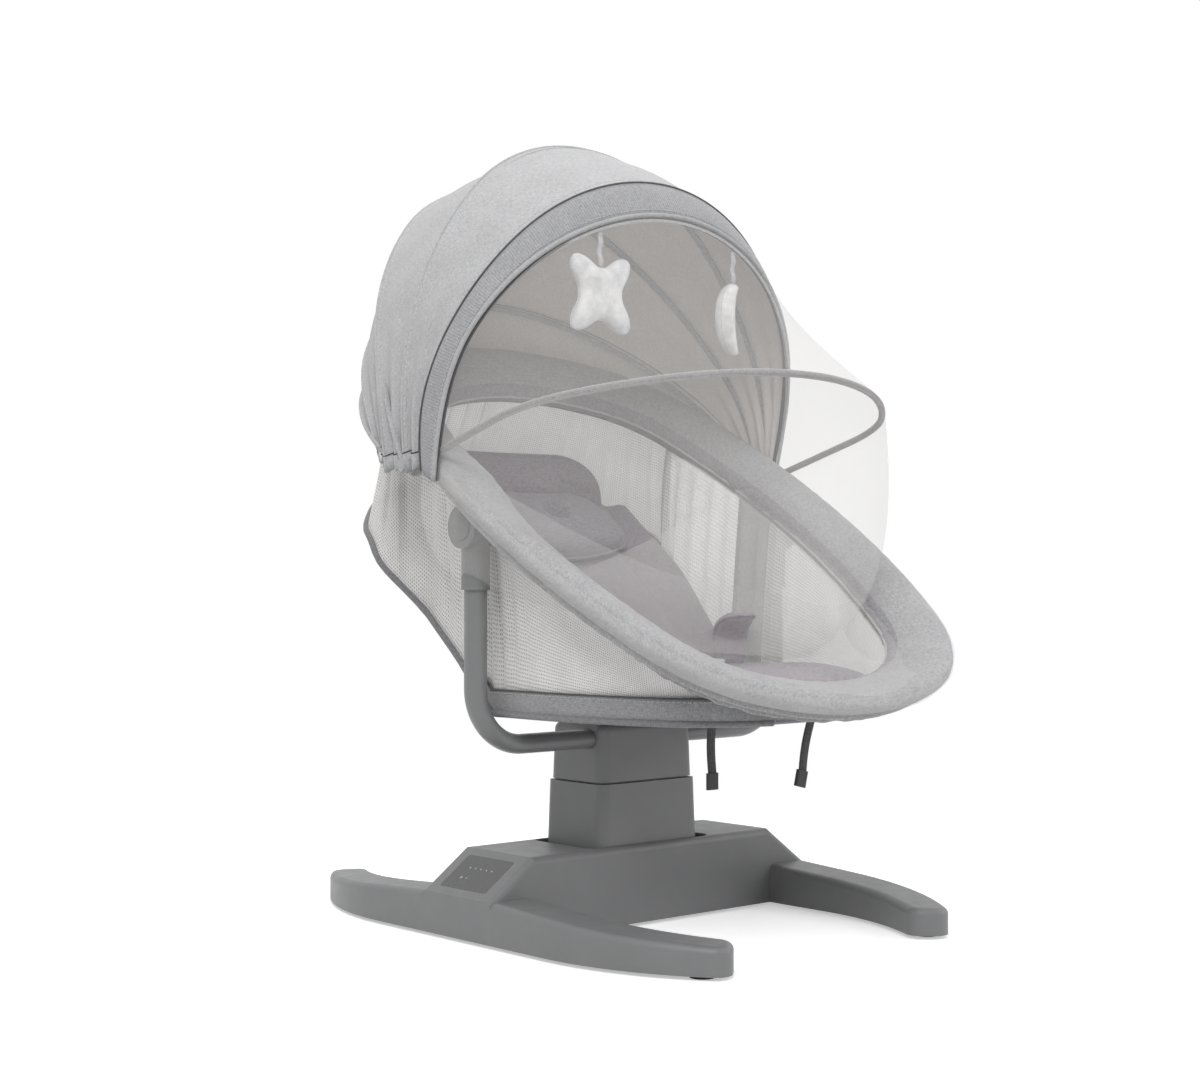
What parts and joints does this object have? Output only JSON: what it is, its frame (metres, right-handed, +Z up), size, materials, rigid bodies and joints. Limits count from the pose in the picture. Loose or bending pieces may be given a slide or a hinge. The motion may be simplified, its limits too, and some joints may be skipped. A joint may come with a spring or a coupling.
{
  "type": "baby swing",
  "caption": "Electric baby swing: low base with bowed legs, driven column, oval reclining seat with mesh walls and pads, folding canopy, lifting insect net and hanging toys.",
  "frame": {"origin": "on the floor under the middle of the overall box", "axes": "+Z up, -Y towards the foot end of the seat, +X away from the end of the base with the control panel"},
  "size_m": [0.5946, 0.7565, 0.9199],
  "materials": {
    "shell_plastic": "fine moulded grain, mid gray",
    "inner_plastic": "moulded, dark gray",
    "arm_paint": "satin gray paint",
    "steel": "plain drawn steel",
    "motor_can": "plated can",
    "gear_plastic": "natural moulded plastic",
    "panel_gloss": "smooth dark plate",
    "circuit": "circuit board",
    "black_plastic": "moulded, black",
    "pad_rubber": "soft matt rubber",
    "button_plastic": "fine moulded grain, gray",
    "rim_fabric": "light gray melange weave",
    "canopy_fabric": "light gray melange weave",
    "hoop_plastic": "drawn plastic rod in a cloth sleeve",
    "mesh_fabric": "open knitted mesh",
    "net_fabric": "fine insect net",
    "pad_fabric": "soft knit, purplish gray",
    "pillow_fabric": "soft knit, gathered",
    "board_fabric": "woven cover over a stiff board",
    "webbing": "woven tape",
    "buckle_plastic": "light moulded plastic",
    "star_plush": "short plush",
    "moon_plush": "short plush"
  },
  "bodies": {
    "base": {"base_upper_shell": "shell_plastic", "base_bottom_cover": "inner_plastic", "base_screws": "steel", "leg_front_left": "shell_plastic", "leg_front_right": "shell_plastic", "leg_rear_left": "shell_plastic", "leg_rear_right": "shell_plastic", "foot_pads": "pad_rubber", "control_panel": "panel_gloss", "control_board": "circuit", "speaker": "black_plastic", "power_inlet": "black_plastic", "swing_shaft": "steel", "drive_motor": "motor_can"},
    "pinion": {"drive_pinion": "gear_plastic"},
    "column": {"swing_yoke": "inner_plastic", "sector_gear": "gear_plastic", "column_lower_cover": "shell_plastic", "column_upper_cover": "shell_plastic", "arm_socket": "inner_plastic", "arm_tube_left": "arm_paint", "arm_tube_right": "arm_paint", "arm_sleeve_left": "shell_plastic", "arm_sleeve_right": "shell_plastic"},
    "button_left": {"recline_button_left": "button_plastic"},
    "button_right": {"recline_button_right": "button_plastic"},
    "seat": {"rim_tubes": "steel", "rim_pad": "rim_fabric", "rim_bracket_left": "inner_plastic", "rim_bracket_right": "inner_plastic", "canopy_ears": "inner_plastic", "seat_board": "board_fabric", "back_board": "board_fabric", "mesh_wall_left": "mesh_fabric", "mesh_wall_right": "mesh_fabric", "mesh_wall_head": "mesh_fabric", "seat_pad": "pad_fabric", "back_pad": "pad_fabric", "head_pillow": "pillow_fabric", "crotch_pad": "pad_fabric", "harness_buckle": "buckle_plastic", "strap_tails": "webbing", "strap_clips": "black_plastic", "canopy_hoop_fixed": "hoop_plastic", "canopy_rear_skirt": "canopy_fabric"},
    "hoop_rear": {"canopy_hoop_rear": "hoop_plastic", "canopy_gore_rear": "canopy_fabric"},
    "hoop_middle": {"canopy_hoop_middle": "hoop_plastic", "canopy_gore_middle": "canopy_fabric"},
    "hoop_front": {"canopy_hoop_front": "hoop_plastic", "canopy_front_band": "canopy_fabric", "canopy_gore_front": "canopy_fabric"},
    "net": {"net_bow": "hoop_plastic", "net_upper": "net_fabric", "net_front": "net_fabric"},
    "star": {"star_ribbon": "webbing", "toy_star": "star_plush"},
    "moon": {"moon_ribbon": "webbing", "toy_moon": "moon_plush"}
  },
  "joints": [
    {"name": "swing", "type": "hinge", "parent": "base", "child": "column", "pos_m": [0, 0.034, 0.044], "axis": [0, 1, 0], "range_deg": [-8, 8]},
    {"name": "pinion_spin", "type": "hinge", "parent": "base", "child": "pinion", "pos_m": [0.08, 0.034, 0.044], "axis": [0, 1, 0], "range_deg": [-46, 46]},
    {"name": "recline", "type": "hinge", "parent": "column", "child": "seat", "pos_m": [0, 0.014, 0.455], "axis": [-1, 0, 0], "range_deg": [-6, 14]},
    {"name": "button_left_press", "type": "slide", "parent": "column", "child": "button_left", "axis": [1, 0, 0], "range_m": [0, 0.0025], "stiffness_N_per_m": 900},
    {"name": "button_right_press", "type": "slide", "parent": "column", "child": "button_right", "axis": [-1, 0, 0], "range_m": [0, 0.0025], "stiffness_N_per_m": 900},
    {"name": "fold_rear", "type": "hinge", "parent": "seat", "child": "hoop_rear", "pos_m": [0, 0.067, 0.522], "axis": [-1, 0, 0], "range_deg": [0, 14], "deforming": ["canopy_gore_rear"]},
    {"name": "fold_middle", "type": "hinge", "parent": "hoop_rear", "child": "hoop_middle", "pos_m": [0, 0.067, 0.522], "axis": [-1, 0, 0], "range_deg": [0, 16], "deforming": ["canopy_gore_middle"]},
    {"name": "fold_front", "type": "hinge", "parent": "hoop_middle", "child": "hoop_front", "pos_m": [0, 0.067, 0.522], "axis": [-1, 0, 0], "range_deg": [0, 14], "deforming": ["canopy_gore_front"]},
    {"name": "net_lift", "type": "hinge", "parent": "hoop_front", "child": "net", "pos_m": [0, 0.067, 0.522], "axis": [-1, 0, 0], "range_deg": [0, 42], "deforming": ["net_upper", "net_front"]},
    {"name": "star_swing", "type": "hinge", "parent": "hoop_front", "child": "star", "pos_m": [-0.105, -0.0461, 0.786], "axis": [1, 0, 0], "range_deg": [-30, 30]},
    {"name": "moon_swing", "type": "hinge", "parent": "hoop_front", "child": "moon", "pos_m": [0.105, -0.0461, 0.786], "axis": [1, 0, 0], "range_deg": [-30, 30]}
  ],
  "couplings": [
    {"joint": "pinion_spin", "follows": "swing", "ratio": -5.6667},
    {"joint": "fold_rear", "follows": "fold_front", "ratio": 1},
    {"joint": "fold_middle", "follows": "fold_front", "ratio": 1.1428}
  ]
}
